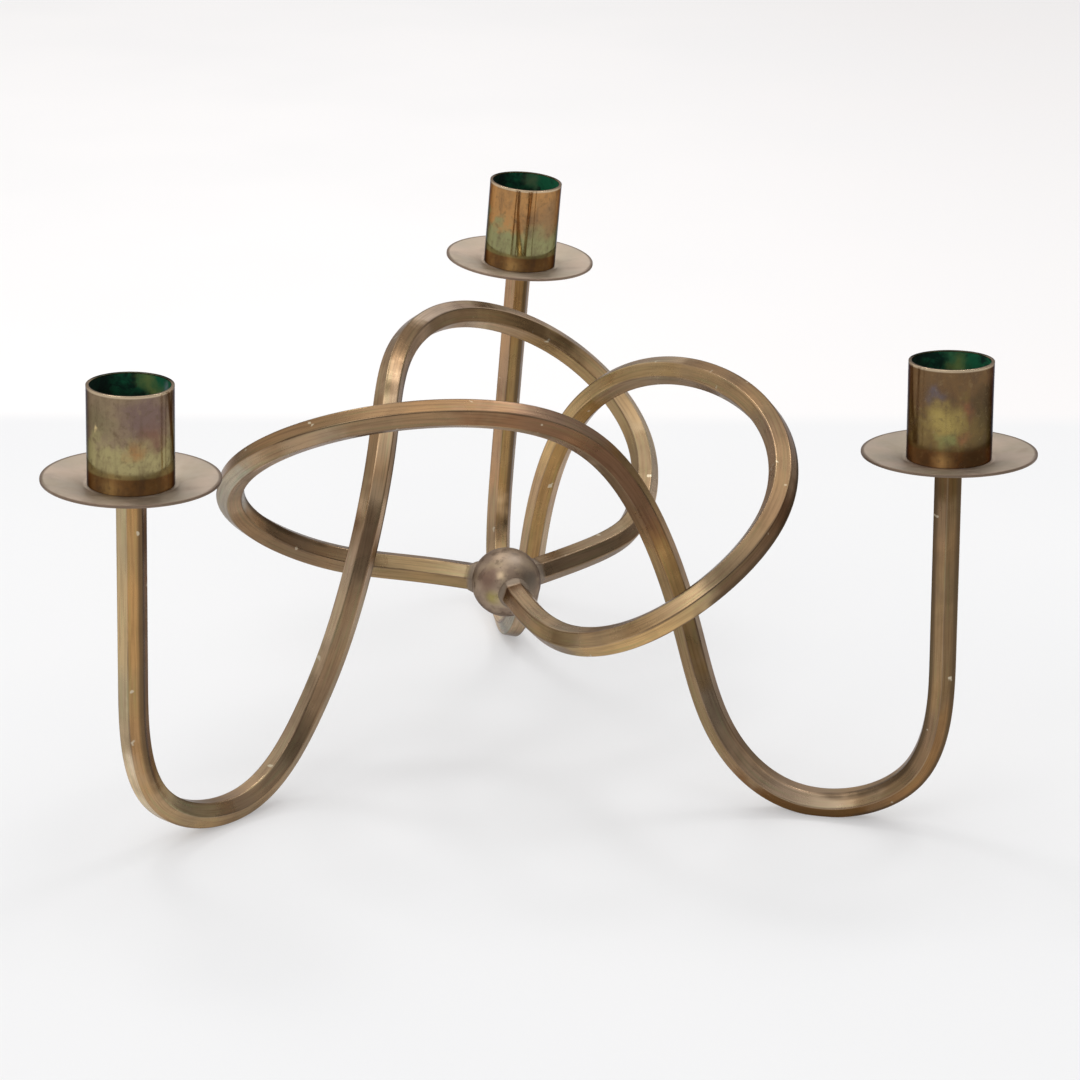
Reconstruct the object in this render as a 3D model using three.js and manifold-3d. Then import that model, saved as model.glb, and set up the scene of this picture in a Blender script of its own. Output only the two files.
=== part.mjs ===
import * as THREE from "three";
import { NURBSCurve } from "three/addons/curves/NURBSCurve.js";
import { mergeVertices } from "three/addons/utils/BufferGeometryUtils.js";
import Module from "manifold-3d";

// Three-armed candelabra of bent hexagonal brass bar. Lengths in millimetres, angles in degrees.
// The table is z = 0. Each arm is drawn in its own frame: x runs out to its own candle, y across, z up.

// Clearance between neighbouring pieces, and how deep each foot is filed flat
const GAP = 0.3;
const FOOT_FILING = 0.4;

// Hexagonal bar: its width across flats, and the turn of its flats about the upright stem
const BAR_ACROSS_FLATS = 8;
const BAR_TURN = 14;

// Ball in the middle, its sockets and the spigots turned on the arms' ends
const HUB_DIAMETER = 22.2;
const HUB_HEIGHT = 57.5;
const HUB_SEAT_DEPTH = 1.1;
const SPIGOT_DIAMETER = 5;
const SPIGOT_LENGTH = 5;

// The ring of candles: distance of each stem from the ring's axis, and the hub's offset from that axis
const STEM_REACH = 139.4;
const HUB_OFFSET = -4.8;

// Corner points that the bar is bent around between its hub end and its stem, as x, y and height
const BENDS = [
  [-37.5, -5, 61], // level run out of the hub, away from the arm's own candle
  [-58.5, -13, 61], // first turn upwards
  [-84, -40.5, 82], // far side of the loop, climbing
  [-64.5, -74.5, 111.5],
  [-20, -73, 130.5], // crest of the loop
  [24.5, -43, 129],
  [43, -14.5, 106.5], // over and down
  [59.5, -7, 58], // leg
  [69, -14.5, 21.5],
  [94.5, -7, -6], // under the foot
];
const STEM_BENDS = [6.5, 55, 72]; // heights of the corner points where the foot turns up into the stem

// Heights of the stems' tops: the two front arms, and the back arm, which stands a little taller
const STEM_TOP = 112.5;
const BACK_STEM_TOP = 120.6;

// The arms as bent: bearing of the candle, lean sideways and inwards, and how far single corner points
// of that arm lie from BENDS, keyed by their place in the list
const ARMS = [
  {
    side: "back",
    bearing: 92.5,
    lean: 4.3,
    nod: -1.9,
    stemTop: BACK_STEM_TOP,
    offsets: { 0: [0, 1.5, -2], 1: [-0.5, -1, 0], 2: [-1, 1.5, 1], 8: [-1.5, 6.5, -3], 9: [-3.5, 3.5, 2] },
  },
  {
    side: "right",
    bearing: 336.8,
    lean: -2.5,
    nod: -2.3,
    stemTop: STEM_TOP,
    offsets: {},
  },
  {
    side: "left",
    bearing: 214.9,
    lean: -0.2,
    nod: -2,
    stemTop: STEM_TOP,
    offsets: { 2: [1, -1, 1], 3: [-3, 2, 0] },
  },
];

// Drip pan: a thin pressed dish with a flat seat under the cup
const PAN_DIAMETER = 52.2;
const PAN_THICKNESS = 0.9;
const PAN_RISE = 2;
const PAN_SEAT_MARGIN = 1;

// Candle cup: a straight tube with a floor
const CUP_DIAMETER = 25.3;
const CUP_HEIGHT = 29.4;
const CUP_WALL = 1;
const CUP_FLOOR = 2.6;
const CUP_EDGE = 0.3;

// Slotted screw that holds cup and pan on the stem, sunk so that its head is level with the cup's floor
const SCREW_DIAMETER = 4;
const SCREW_LENGTH = 14;
const SCREW_HEAD_DIAMETER = 8;
const SCREW_HEAD_HEIGHT = 1.4;
const SCREW_HEAD_EDGE = 0.3;
const SLOT_WIDTH = 1.2;
const SLOT_DEPTH = 0.8;

// Heights above the stem's top: undersides of the pan and the cup, the floor's recess, the screw's head
const PAN_SEAT = GAP;
const CUP_SEAT = PAN_SEAT + PAN_THICKNESS + GAP;
const RECESS_FLOOR = CUP_FLOOR - SCREW_HEAD_HEIGHT - GAP;
const SCREW_SEAT = CUP_SEAT + RECESS_FLOOR + GAP;

// How finely curves are faceted
const BAR_STEPS = 120;
const ROUND_SEGMENTS = 48;
const HUB_RINGS = 24;
const PAN_RINGS = 5;
const SMALL_SEGMENTS = 20;
const WELD = 1e-4;

const wasm = await Module();
wasm.setup();

function toSolid(geometry) {
  const bare = geometry.index ? geometry.toNonIndexed() : geometry.clone();
  bare.deleteAttribute("normal");
  bare.deleteAttribute("uv");
  const merged = mergeVertices(bare, WELD);
  return new wasm.Manifold(new wasm.Mesh({
    numProp: 3,
    vertProperties: new Float32Array(merged.attributes.position.array),
    triVerts: new Uint32Array(merged.index.array),
  }));
}

function toGeometry(solid) {
  const mesh = solid.getMesh();
  const geometry = new THREE.BufferGeometry();
  geometry.setAttribute("position", new THREE.BufferAttribute(mesh.vertProperties, 3));
  geometry.setIndex(new THREE.BufferAttribute(mesh.triVerts, 1));
  geometry.computeVertexNormals();
  return geometry;
}

function material(color, roughness) {
  return new THREE.MeshStandardMaterial({ color, roughness, metalness: 1 });
}

function piece(name, geometry, look) {
  const mesh = new THREE.Mesh(geometry, look);
  mesh.name = name;
  return mesh;
}

// A turned piece standing on z = 0, from its outline as radius and height, anticlockwise
function turned(outline, segments) {
  const points = outline.map(([radius, height]) => new THREE.Vector2(radius, height));
  const geometry = new THREE.LatheGeometry(points, segments);
  geometry.rotateX(Math.PI / 2);
  return geometry;
}

// A round rod from one height to another on the z axis
function rod(diameter, bottom, top) {
  const radius = diameter / 2;
  return turned([[0, bottom], [radius, bottom], [radius, top], [0, top]], SMALL_SEGMENTS);
}

// Turns a geometry drawn on +z so that it points along a direction from a place
function aim(geometry, place, direction) {
  const turn = new THREE.Quaternion().setFromUnitVectors(new THREE.Vector3(0, 0, 1), direction);
  geometry.applyQuaternion(turn);
  geometry.translate(place.x, place.y, place.z);
  return geometry;
}

function barSection() {
  const corner = BAR_ACROSS_FLATS / Math.sqrt(3);
  const section = new THREE.Shape();
  for (let side = 0; side < 6; side += 1) {
    const angle = THREE.MathUtils.degToRad(60 * side - BAR_TURN);
    const x = corner * Math.cos(angle);
    const y = corner * Math.sin(angle);
    if (side === 0) section.moveTo(x, y);
    else section.lineTo(x, y);
  }
  section.closePath();
  return section;
}

// Distance from the hub's centre to the flat seats of the arms, and to the ends of their hexagons
const HUB_SEAT = HUB_DIAMETER / 2 - HUB_SEAT_DEPTH;
const BAR_START = HUB_SEAT + GAP;

// The corner points of one arm, in its own frame
function armBends(arm) {
  return BENDS.map((bend, index) => {
    const corner = new THREE.Vector3(...bend);
    return index in arm.offsets ? corner.add(new THREE.Vector3(...arm.offsets[index])) : corner;
  });
}

// Where an arm leaves the hub: its direction there, in the arm's frame
function rootDirection(arm, hub) {
  return armBends(arm)[0].sub(hub).normalize();
}

// The bar's centre line from the stem's top to its hub end
function barPath(arm, hub) {
  const root = hub.clone().addScaledVector(rootDirection(arm, hub), BAR_START);
  const stem = [...STEM_BENDS, arm.stemTop].map((height) => new THREE.Vector3(STEM_REACH, 0, height));
  const corners = [root, ...armBends(arm), ...stem].reverse();
  const degree = 3;
  const knots = [];
  for (let index = 0; index < corners.length + degree + 1; index += 1) {
    knots.push(THREE.MathUtils.clamp(index - degree, 0, corners.length - degree));
  }
  const path = new NURBSCurve(degree, knots, corners);
  path.arcLengthDivisions = 8 * BAR_STEPS;
  return path;
}

function bentBar(arm, hub) {
  return new THREE.ExtrudeGeometry(barSection(), {
    steps: BAR_STEPS,
    bevelEnabled: false,
    extrudePath: barPath(arm, hub),
  });
}

// The group that carries one arm: it swings about the ring's axis and leans about the hub's height
function armFrame(arm) {
  const [lean, nod, bearing] = [arm.lean, arm.nod, arm.bearing].map(THREE.MathUtils.degToRad);
  const swing = new THREE.Group();
  swing.position.set(0, 0, HUB_HEIGHT);
  swing.rotation.set(lean, nod, bearing, "ZYX");
  const drop = new THREE.Group();
  drop.position.z = -HUB_HEIGHT;
  swing.add(drop);
  swing.updateMatrixWorld(true);
  return { swing, drop };
}

const hubCentre = new THREE.Vector3(HUB_OFFSET, 0, HUB_HEIGHT);

// The hub's centre as seen in an arm's own frame
function hubInArm(drop) {
  return hubCentre.clone().applyMatrix4(drop.matrixWorld.clone().invert());
}

// Raises or lowers an arm until the bar's underside is one filing depth below the table
function settle(arm, swing, drop) {
  const bar = bentBar(arm, hubInArm(drop));
  bar.applyMatrix4(drop.matrixWorld);
  bar.computeBoundingBox();
  swing.position.z -= bar.boundingBox.min.z + FOOT_FILING;
  swing.updateMatrixWorld(true);
}

// Everything below the table top, in an arm's own frame
function belowTable(drop) {
  const size = 4 * STEM_REACH;
  const block = new THREE.BoxGeometry(size, size, size);
  block.translate(0, 0, -size / 2);
  block.applyMatrix4(drop.matrixWorld.clone().invert());
  return toSolid(block);
}

function armGeometry(arm, drop) {
  const hub = hubInArm(drop);
  const direction = rootDirection(arm, hub);
  const spigotEnd = HUB_SEAT - SPIGOT_LENGTH;
  const spigot = aim(rod(SPIGOT_DIAMETER, spigotEnd, BAR_START + SPIGOT_DIAMETER / 2), hub, direction);
  const boreEnd = arm.stemTop + SCREW_SEAT - SCREW_LENGTH - GAP;
  const bore = rod(SCREW_DIAMETER + 2 * GAP, boreEnd, arm.stemTop + GAP);
  bore.translate(STEM_REACH, 0, 0);
  const bar = toSolid(bentBar(arm, hub)).add(toSolid(spigot));
  return toGeometry(bar.subtract(toSolid(bore)).subtract(belowTable(drop)));
}

// The ball, with a flat seat and a socket towards each arm
function hubGeometry(directions) {
  const ball = new THREE.SphereGeometry(HUB_DIAMETER / 2, ROUND_SEGMENTS, HUB_RINGS);
  ball.rotateX(Math.PI / 2);
  let solid = toSolid(ball);
  const socketEnd = HUB_SEAT - SPIGOT_LENGTH - GAP;
  for (const direction of directions) {
    const seat = rod(HUB_DIAMETER, HUB_SEAT, HUB_DIAMETER);
    const socket = rod(SPIGOT_DIAMETER + 2 * GAP, socketEnd, HUB_DIAMETER);
    for (const cut of [seat, socket]) {
      solid = solid.subtract(toSolid(aim(cut, new THREE.Vector3(), direction)));
    }
  }
  return toGeometry(solid);
}

function panGeometry() {
  const rim = PAN_DIAMETER / 2;
  const seat = CUP_DIAMETER / 2 + PAN_SEAT_MARGIN;
  const hole = SCREW_DIAMETER / 2 + GAP;
  const lower = [];
  const upper = [];
  for (let step = 0; step <= PAN_RINGS; step += 1) {
    const share = step / PAN_RINGS;
    const radius = seat + (rim - seat) * share;
    const rise = PAN_RISE * share * (2 - share);
    lower.push([radius, rise]);
    upper.unshift([radius, PAN_THICKNESS + rise]);
  }
  return turned([[hole, 0], ...lower, ...upper, [hole, PAN_THICKNESS], [hole, 0]], ROUND_SEGMENTS);
}

function cupGeometry() {
  const outer = CUP_DIAMETER / 2;
  const inner = outer - CUP_WALL;
  const hole = SCREW_DIAMETER / 2 + GAP;
  const recess = SCREW_HEAD_DIAMETER / 2 + GAP;
  return turned([
    [hole, 0],
    [outer - CUP_EDGE, 0],
    [outer, CUP_EDGE],
    [outer, CUP_HEIGHT - CUP_EDGE],
    [outer - CUP_EDGE, CUP_HEIGHT],
    [inner + CUP_EDGE, CUP_HEIGHT],
    [inner, CUP_HEIGHT - CUP_EDGE],
    [inner, CUP_FLOOR],
    [recess, CUP_FLOOR],
    [recess, RECESS_FLOOR],
    [hole, RECESS_FLOOR],
    [hole, 0],
  ], ROUND_SEGMENTS);
}

// The screw with the underside of its head on z = 0
function screwGeometry() {
  const head = SCREW_HEAD_DIAMETER / 2;
  const shank = SCREW_DIAMETER / 2;
  const body = turned([
    [0, -SCREW_LENGTH],
    [shank, -SCREW_LENGTH],
    [shank, 0],
    [head, 0],
    [head, SCREW_HEAD_HEIGHT - SCREW_HEAD_EDGE],
    [head - SCREW_HEAD_EDGE, SCREW_HEAD_HEIGHT],
    [0, SCREW_HEAD_HEIGHT],
  ], SMALL_SEGMENTS);
  const slot = new THREE.BoxGeometry(2 * SCREW_HEAD_DIAMETER, SLOT_WIDTH, 2 * SLOT_DEPTH);
  slot.translate(0, 0, SCREW_HEAD_HEIGHT);
  return toGeometry(toSolid(body).subtract(toSolid(slot)));
}

const barBrass = material(0x8a6f4a, 0.35);
const hubBrass = material(0x7c6a4c, 0.4);
const panBrass = material(0xa08c7c, 0.6);
const cupBrass = material(0x7d6238, 0.25);
const screwBrass = material(0x6f6a45, 0.5);

// Stacks pan, cup and screw on the top of an arm's stem
function candleHolder(arm) {
  const stack = new THREE.Group();
  stack.position.set(STEM_REACH, 0, arm.stemTop);
  const pan = piece(`drip_pan_${arm.side}`, panGeometry(), panBrass);
  pan.position.z = PAN_SEAT;
  const cup = piece(`candle_cup_${arm.side}`, cupGeometry(), cupBrass);
  cup.position.z = CUP_SEAT;
  const screw = piece(`cup_screw_${arm.side}`, screwGeometry(), screwBrass);
  screw.position.z = SCREW_SEAT;
  stack.add(pan, cup, screw);
  return stack;
}

const candelabra = new THREE.Group();
const directions = [];
for (const arm of ARMS) {
  const { swing, drop } = armFrame(arm);
  settle(arm, swing, drop);
  drop.add(piece(`arm_${arm.side}`, armGeometry(arm, drop), barBrass), candleHolder(arm));
  directions.push(rootDirection(arm, hubInArm(drop)).transformDirection(drop.matrixWorld));
  candelabra.add(swing);
}
const hub = piece("hub_ball", hubGeometry(directions), hubBrass);
hub.position.copy(hubCentre);
candelabra.add(hub);

// The origin is the middle of the footprint, on the table
candelabra.updateMatrixWorld(true);
const middle = new THREE.Box3().setFromObject(candelabra, true).getCenter(new THREE.Vector3());
candelabra.position.set(-middle.x, -middle.y, 0);

export default candelabra;
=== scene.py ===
import math

import bmesh
import bpy
import numpy as np
from mathutils import Matrix, Vector


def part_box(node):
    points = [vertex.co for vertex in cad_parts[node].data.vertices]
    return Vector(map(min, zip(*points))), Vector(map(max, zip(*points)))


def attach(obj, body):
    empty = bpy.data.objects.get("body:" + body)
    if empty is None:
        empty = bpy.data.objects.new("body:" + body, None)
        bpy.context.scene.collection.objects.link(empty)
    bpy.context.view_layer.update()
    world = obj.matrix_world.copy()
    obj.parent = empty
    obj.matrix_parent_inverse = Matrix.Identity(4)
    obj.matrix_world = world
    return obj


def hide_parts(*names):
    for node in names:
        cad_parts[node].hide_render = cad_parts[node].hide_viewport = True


# Three-armed candelabra of bent hexagonal brass bar. Shapes are drawn in millimetres and stored in
# metres. Each arm is drawn in its own frame: x runs out to its own candle, y across, z up.

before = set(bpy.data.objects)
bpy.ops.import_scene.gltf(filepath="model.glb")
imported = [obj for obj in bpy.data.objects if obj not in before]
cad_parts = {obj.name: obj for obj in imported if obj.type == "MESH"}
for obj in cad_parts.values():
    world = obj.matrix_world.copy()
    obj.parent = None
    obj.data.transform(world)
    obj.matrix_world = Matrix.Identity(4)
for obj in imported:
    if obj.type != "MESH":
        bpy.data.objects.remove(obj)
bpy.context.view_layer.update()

MM = 0.001

# The arms' shape, as in the CAD part
BAR_SIDES = 6
BAR_ACROSS_FLATS = 8
BAR_TURN = 14
HUB_DIAMETER = 22.2
HUB_SEAT = 10
HUB_OFFSET = -4.8
STEM_REACH = 139.4
BENDS = [
    (-37.5, -5, 61),
    (-58.5, -13, 61),
    (-84, -40.5, 82),
    (-64.5, -74.5, 111.5),
    (-20, -73, 130.5),
    (24.5, -43, 129),
    (43, -14.5, 106.5),
    (59.5, -7, 58),
    (69, -14.5, 21.5),
    (94.5, -7, -6),
]
STEM_BENDS = (6.5, 55, 72)
ARMS = {
    "back": {
        "bearing": 92.5, "lean": 4.3, "nod": -1.9, "stem_top": 120.6,
        "offsets": {
            0: (0, 1.5, -2),
            1: (-0.5, -1, 0),
            2: (-1, 1.5, 1),
            8: (-1.5, 6.5, -3),
            9: (-3.5, 3.5, 2),
        },
    },
    "right": {
        "bearing": 336.8, "lean": -2.5, "nod": -2.3, "stem_top": 112.5,
        "offsets": {},
    },
    "left": {
        "bearing": 214.9, "lean": -0.2, "nod": -2, "stem_top": 112.5,
        "offsets": {2: (1, -1, 1), 3: (-3, 2, 0)},
    },
}

# The bars' finer shape
CORNER_RADIUS = 0.8
CORNER_STEPS = 5
# Points across a flat, as shares of half of it
FLAT_SHARES = (-0.86, -0.4, 0, 0.4, 0.86)
# Half of the angle that a flat takes up, in degrees
HALF_SIDE = 180 / BAR_SIDES
LINE_POINTS = 4001
RING_STEP = 1.5
END_CHAMFER = 0.6
CHAMFER_KNEE = 0.3
SEAT_GAP = 0.04
BORE_RADIUS = 2.3
BORE_DEPTH = 12
# The round of braze at each arm's end: how far past the bar's end, towards the ball, how far it
# stands out, and how round it is
BRAZE = [
    (-2.1, 0, 0),
    (-1.9, 0.12, 0.1),
    (-1.6, 0.3, 0.35),
    (-1.25, 0.46, 0.65),
    (-0.85, 0.6, 0.9),
    (-0.45, 0.72, 1),
    (-0.05, 0.78, 1),
    (0.3, 0.76, 1),
    (0.6, 0.6, 1),
]
BRAZE_RADIUS = 4.35
# Waves in the braze's outline: their height as a share of the braze's, and how many go round
BROAD_WAVE = (0.1, 3)
FINE_WAVE = (0.06, 7)
# Millimetres of bar in one unit of its UV map
UV_LENGTH = 100

# Drip pan and cup, heights above the stem's top
REST_GAP = 0.02
PAN_RADIUS = 26.1
PAN_SEAT_RADIUS = 13.65
PAN_TOP = 1.2
PAN_THICKNESS = 0.9
PAN_RISE = 2
PAN_STEPS = 8
PAN_ROUNDING = 0.3
CAD_CUP_BOTTOM = 1.5
CUP_BOTTOM = PAN_TOP + REST_GAP
CUP_TOP = 30.9
CUP_FLOOR_TOP = 4.1
CUP_RECESS_TOP = 2.4
CUP_RECESS_RADIUS = 4.3
CUP_RADIUS = 12.65
CUP_WALL = 1.0
CUP_ROUNDING = 0.22
# A cup's inside starts this far past its inner wall, this far above its bottom, and this far below
# its top
INSIDE_SLACK = 0.02
INSIDE_LIFT = 0.5
INSIDE_DROP = 0.25
# Degrees between the points that mark a cup's rim
RIM_STEP = 7.5
LATHE_SEGMENTS = 128
ROUNDING_STEPS = 4
# A rounding takes at most CUT_SHARE of an edge. Its support points stand SUPPORT_REACH times as far
# from the corner, but at most SUPPORT_SHARE of the edge.
CUT_SHARE = 0.4
SUPPORT_REACH = 1.6
SUPPORT_SHARE = 0.45
# A corner stays as it is when the cosine between its two edges is below this
STRAIGHT = -0.98

# The ball, and how its centre is found from the CAD mesh
BALL_SUBDIVISIONS = 6
BALL_FIT_ROUNDS = 60
BALL_SKIN = 0.2


# Meshes


def mesh_object(name, verts, faces, uvs=None, materials=(), face_material=None):
    mesh = bpy.data.meshes.new(name)
    mesh.from_pydata([tuple(v) for v in verts], [], faces)
    mesh.validate()
    mesh.polygons.foreach_set("use_smooth", [True] * len(mesh.polygons))
    if uvs is not None:
        layer = mesh.uv_layers.new(name="along")
        flat = []
        for face in uvs:
            for u, v in face:
                flat += [u, v]
        layer.data.foreach_set("uv", flat)
    for look in materials:
        mesh.materials.append(look)
    if face_material is not None:
        mesh.polygons.foreach_set("material_index", face_material)
    mesh.update()
    obj = bpy.data.objects.new(name, mesh)
    bpy.context.scene.collection.objects.link(obj)
    return obj


def repair_normals(obj):
    work = bmesh.new()
    work.from_mesh(obj.data)
    bmesh.ops.recalc_face_normals(work, faces=work.faces)
    work.to_mesh(obj.data)
    work.free()


def finish_piece(obj, node):
    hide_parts(node)
    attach(obj, "root")
    return obj


def rotation(axis, degrees):
    return np.array(Matrix.Rotation(math.radians(degrees), 3, axis))


def arm_turn(arm):
    return rotation("Z", arm["bearing"]) @ rotation("Y", arm["nod"]) @ rotation("X", arm["lean"])


def arm_place(side):
    """Turn and shift, in millimetres, from an arm's own frame to the row frame.

    The shift puts the arm's cup where the CAD cup is.
    """
    arm = ARMS[side]
    turn = arm_turn(arm)
    low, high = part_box(f"candle_cup_{side}")
    target = (np.array(low) + np.array(high)) / 2 / MM
    rim = []
    for height in (arm["stem_top"] + CAD_CUP_BOTTOM, arm["stem_top"] + CUP_TOP):
        for angle in np.radians(np.arange(0, 360, RIM_STEP)):
            x = STEM_REACH + CUP_RADIUS * math.cos(angle)
            rim.append((x, CUP_RADIUS * math.sin(angle), height))
    points = np.array(rim) @ turn.T
    shift = target - (points.min(0) + points.max(0)) / 2
    return turn, shift


def nurbs_points(corners, parameters):
    """Points of a clamped uniform cubic through de Boor's scheme."""
    degree = 3
    count = len(corners)
    knots = np.clip(np.arange(count + degree + 1) - degree, 0, count - degree).astype(float)
    top = count - degree
    result = []
    for t in parameters:
        t = min(max(t * top, 0.0), top - 1e-9)
        span = int(t) + degree
        local = [np.array(corners[span - degree + i], float) for i in range(degree + 1)]
        for level in range(1, degree + 1):
            for i in range(degree, level - 1, -1):
                low = knots[span - degree + i]
                high = knots[span + 1 + i - level]
                share = (t - low) / (high - low)
                local[i] = (1 - share) * local[i - 1] + share * local[i]
        result.append(local[degree])
    return np.array(result)


def arm_bends(arm):
    """The arm's corner points between the ball and its stem, in its own frame."""
    bends = []
    for index, bend in enumerate(BENDS):
        bends.append(np.array(bend, float) + arm["offsets"].get(index, (0, 0, 0)))
    return bends


def bar_line(arm, hub):
    """Evenly spaced points of the bar's centre line, in the arm's frame, and how far along each is.

    The line runs from the stem's top to the ball's seat.
    """
    bends = arm_bends(arm)
    direction = bends[0] - hub
    direction /= np.linalg.norm(direction)
    root = hub + direction * (HUB_SEAT + SEAT_GAP)
    stem = [(STEM_REACH, 0, height) for height in (*STEM_BENDS, arm["stem_top"])]
    corners = [root, *bends, *stem][::-1]
    fine = nurbs_points(corners, np.linspace(0, 1, LINE_POINTS))
    lengths = np.concatenate([[0], np.cumsum(np.linalg.norm(np.diff(fine, axis=0), axis=1))])
    steps = int(round(lengths[-1] / RING_STEP))
    wanted = np.linspace(0, lengths[-1], steps + 1)
    line = np.stack([np.interp(wanted, lengths, fine[:, axis]) for axis in range(3)], axis=1)
    return line, wanted


def carried_axes(line):
    """The tangent and two cross axes at each point.

    The cross axes start as x and y at the stem's top and are carried along without twisting.
    """
    tangents = np.gradient(line, axis=0)
    tangents /= np.linalg.norm(tangents, axis=1)[:, None]
    across = np.array([1.0, 0, 0])
    axes = []
    for tangent in tangents:
        across = across - tangent * across.dot(tangent)
        across /= np.linalg.norm(across)
        axes.append((across.copy(), np.cross(across, tangent)))
    return tangents, axes


def hexagon_ring():
    """Points round a rounded hexagon, and how far round each is from 0 to 1, from a corner on."""
    flat = BAR_ACROSS_FLATS / 2
    half = math.radians(HALF_SIDE)
    centre = (flat - CORNER_RADIUS) / math.cos(half)
    half_flat = centre * math.sin(half)
    start = -HALF_SIDE + BAR_TURN
    points = []

    def add_corner_point(corner, angle):
        points.append((centre * math.cos(corner) + CORNER_RADIUS * math.cos(angle),
                       centre * math.sin(corner) + CORNER_RADIUS * math.sin(angle)))

    for side in range(BAR_SIDES):
        corner = math.radians(start + 2 * HALF_SIDE * side)
        for step in range(1, CORNER_STEPS + 1):
            add_corner_point(corner, corner + half * step / CORNER_STEPS)
        normal = corner + half
        for share in FLAT_SHARES:
            along = half_flat * share
            points.append((flat * math.cos(normal) - along * math.sin(normal),
                           flat * math.sin(normal) + along * math.cos(normal)))
        corner += math.radians(2 * HALF_SIDE)
        for step in range(CORNER_STEPS + 1):
            add_corner_point(corner, corner - half * (CORNER_STEPS - step) / CORNER_STEPS)
    ring = np.array(points)
    angles = np.degrees(np.arctan2(ring[:, 1], ring[:, 0])) - start
    # the last point, back at the first corner, counts as 1 and not as 0
    around = np.mod(angles - 1e-6, 360) / 360
    return ring, around


def tube_faces(around, marks):
    """Faces and UVs of a tube of rings with a flat cap at each end.

    Each ring has a point for every value of around and stands at its own mark along the tube.
    """
    count = len(around)
    faces = []
    uvs = []
    for row in range(len(marks) - 1):
        first = row * count
        second = first + count
        for step in range(count):
            after = (step + 1) % count
            faces.append((first + step, second + step, second + after, first + after))
            v0 = around[step]
            v1 = around[after] if after else 1.0
            uvs.append(((marks[row], v0), (marks[row + 1], v0),
                        (marks[row + 1], v1), (marks[row], v1)))
    for row, flip in ((0, False), (len(marks) - 1, True)):
        cap = [row * count + step for step in range(count)]
        uv = [(marks[row], around[step]) for step in range(count)]
        if flip:
            cap.reverse()
            uv.reverse()
        faces.append(tuple(cap))
        uvs.append(tuple(uv))
    return faces, uvs


def build_arm(side, look):
    """The bar as rings along its line, from the bore in the stem's top to the braze at the ball."""
    arm = ARMS[side]
    turn, shift = arm_place(side)
    hub = turn.T @ (hub_centre() - shift)
    line, lengths = bar_line(arm, hub)
    tangents, axes = carried_axes(line)
    ring, around = hexagon_ring()
    outward = ring / np.linalg.norm(ring, axis=1)[:, None]
    turned = around[:, None] * 2 * math.pi
    uneven = (1 + BROAD_WAVE[0] * np.sin(BROAD_WAVE[1] * turned + arm["bearing"])
              + FINE_WAVE[0] * np.sin(FINE_WAVE[1] * turned))
    rows = []
    marks = []

    def add_row(index, scale, push, radius=None, spread=0, roundness=0):
        if radius is None:
            flat = (ring * scale * (1 - roundness)
                    + outward * (BRAZE_RADIUS * roundness + spread * uneven))
        else:
            flat = outward * radius
        across, up = axes[index]
        origin = line[index] + tangents[index] * push
        rows.append(origin + flat[:, :1] * across + flat[:, 1:] * up)
        marks.append((lengths[index] + push) / UV_LENGTH)

    last = len(line) - 1
    inner = 1 - END_CHAMFER / (BAR_ACROSS_FLATS / 2)
    add_row(0, 1, BORE_DEPTH, BORE_RADIUS)
    add_row(0, 1, 0, BORE_RADIUS)
    add_row(0, inner, 0)
    add_row(0, 1 - CHAMFER_KNEE * (1 - inner), END_CHAMFER * CHAMFER_KNEE)
    add_row(0, 1, END_CHAMFER)
    for index in range(1, last - 1):
        add_row(index, 1, 0)
    for push, spread, roundness in BRAZE:
        add_row(last, 1, push, spread=spread, roundness=roundness)
    world = np.vstack(rows) @ turn.T + shift
    # the feet are filed flat where they stand on the table
    world[:, 2] = np.maximum(world[:, 2], 0)
    faces, uvs = tube_faces(around, marks)
    obj = mesh_object(f"bar_{side}", world * MM, faces, uvs, [look])
    repair_normals(obj)
    return finish_piece(obj, f"arm_{side}")


def hub_centre():
    """The ball's centre in the row frame, in millimetres, fitted to the skin of the CAD ball."""
    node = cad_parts["hub_ball"]
    points = np.array([v.co[:] for v in node.data.vertices])
    points = points @ np.array(node.matrix_world.to_3x3()).T
    points += np.array(node.matrix_world.translation)
    points /= MM
    centre = (points.min(0) + points.max(0)) / 2
    for _ in range(BALL_FIT_ROUNDS):
        away = points - centre
        distance = np.linalg.norm(away, axis=1)
        skin = distance > HUB_DIAMETER / 2 - BALL_SKIN
        excess = (distance[skin] - HUB_DIAMETER / 2)[:, None]
        error = excess * away[skin] / distance[skin][:, None]
        centre = centre + error.mean(0)
    return centre


def lathe(name, outline, place, looks, face_look=None):
    """A turned piece from a closed outline of (radius, height).

    It is set at a place given as a 4x4 matrix in metres.
    """
    rows = len(outline)
    segments = LATHE_SEGMENTS
    verts = []
    for radius, height in outline:
        for step in range(segments):
            angle = 2 * math.pi * step / segments
            x = radius * math.cos(angle)
            y = radius * math.sin(angle)
            verts.append((x * MM, y * MM, height * MM))
    faces = []
    kinds = []
    for row in range(rows):
        after_row = (row + 1) % rows
        for step in range(segments):
            after = (step + 1) % segments
            faces.append((row * segments + step, row * segments + after,
                          after_row * segments + after, after_row * segments + step))
            kinds.append(face_look(outline[row], outline[after_row]) if face_look else 0)
    obj = mesh_object(name, verts, faces, None, looks, kinds)
    repair_normals(obj)
    obj.matrix_world = place
    return obj


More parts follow.
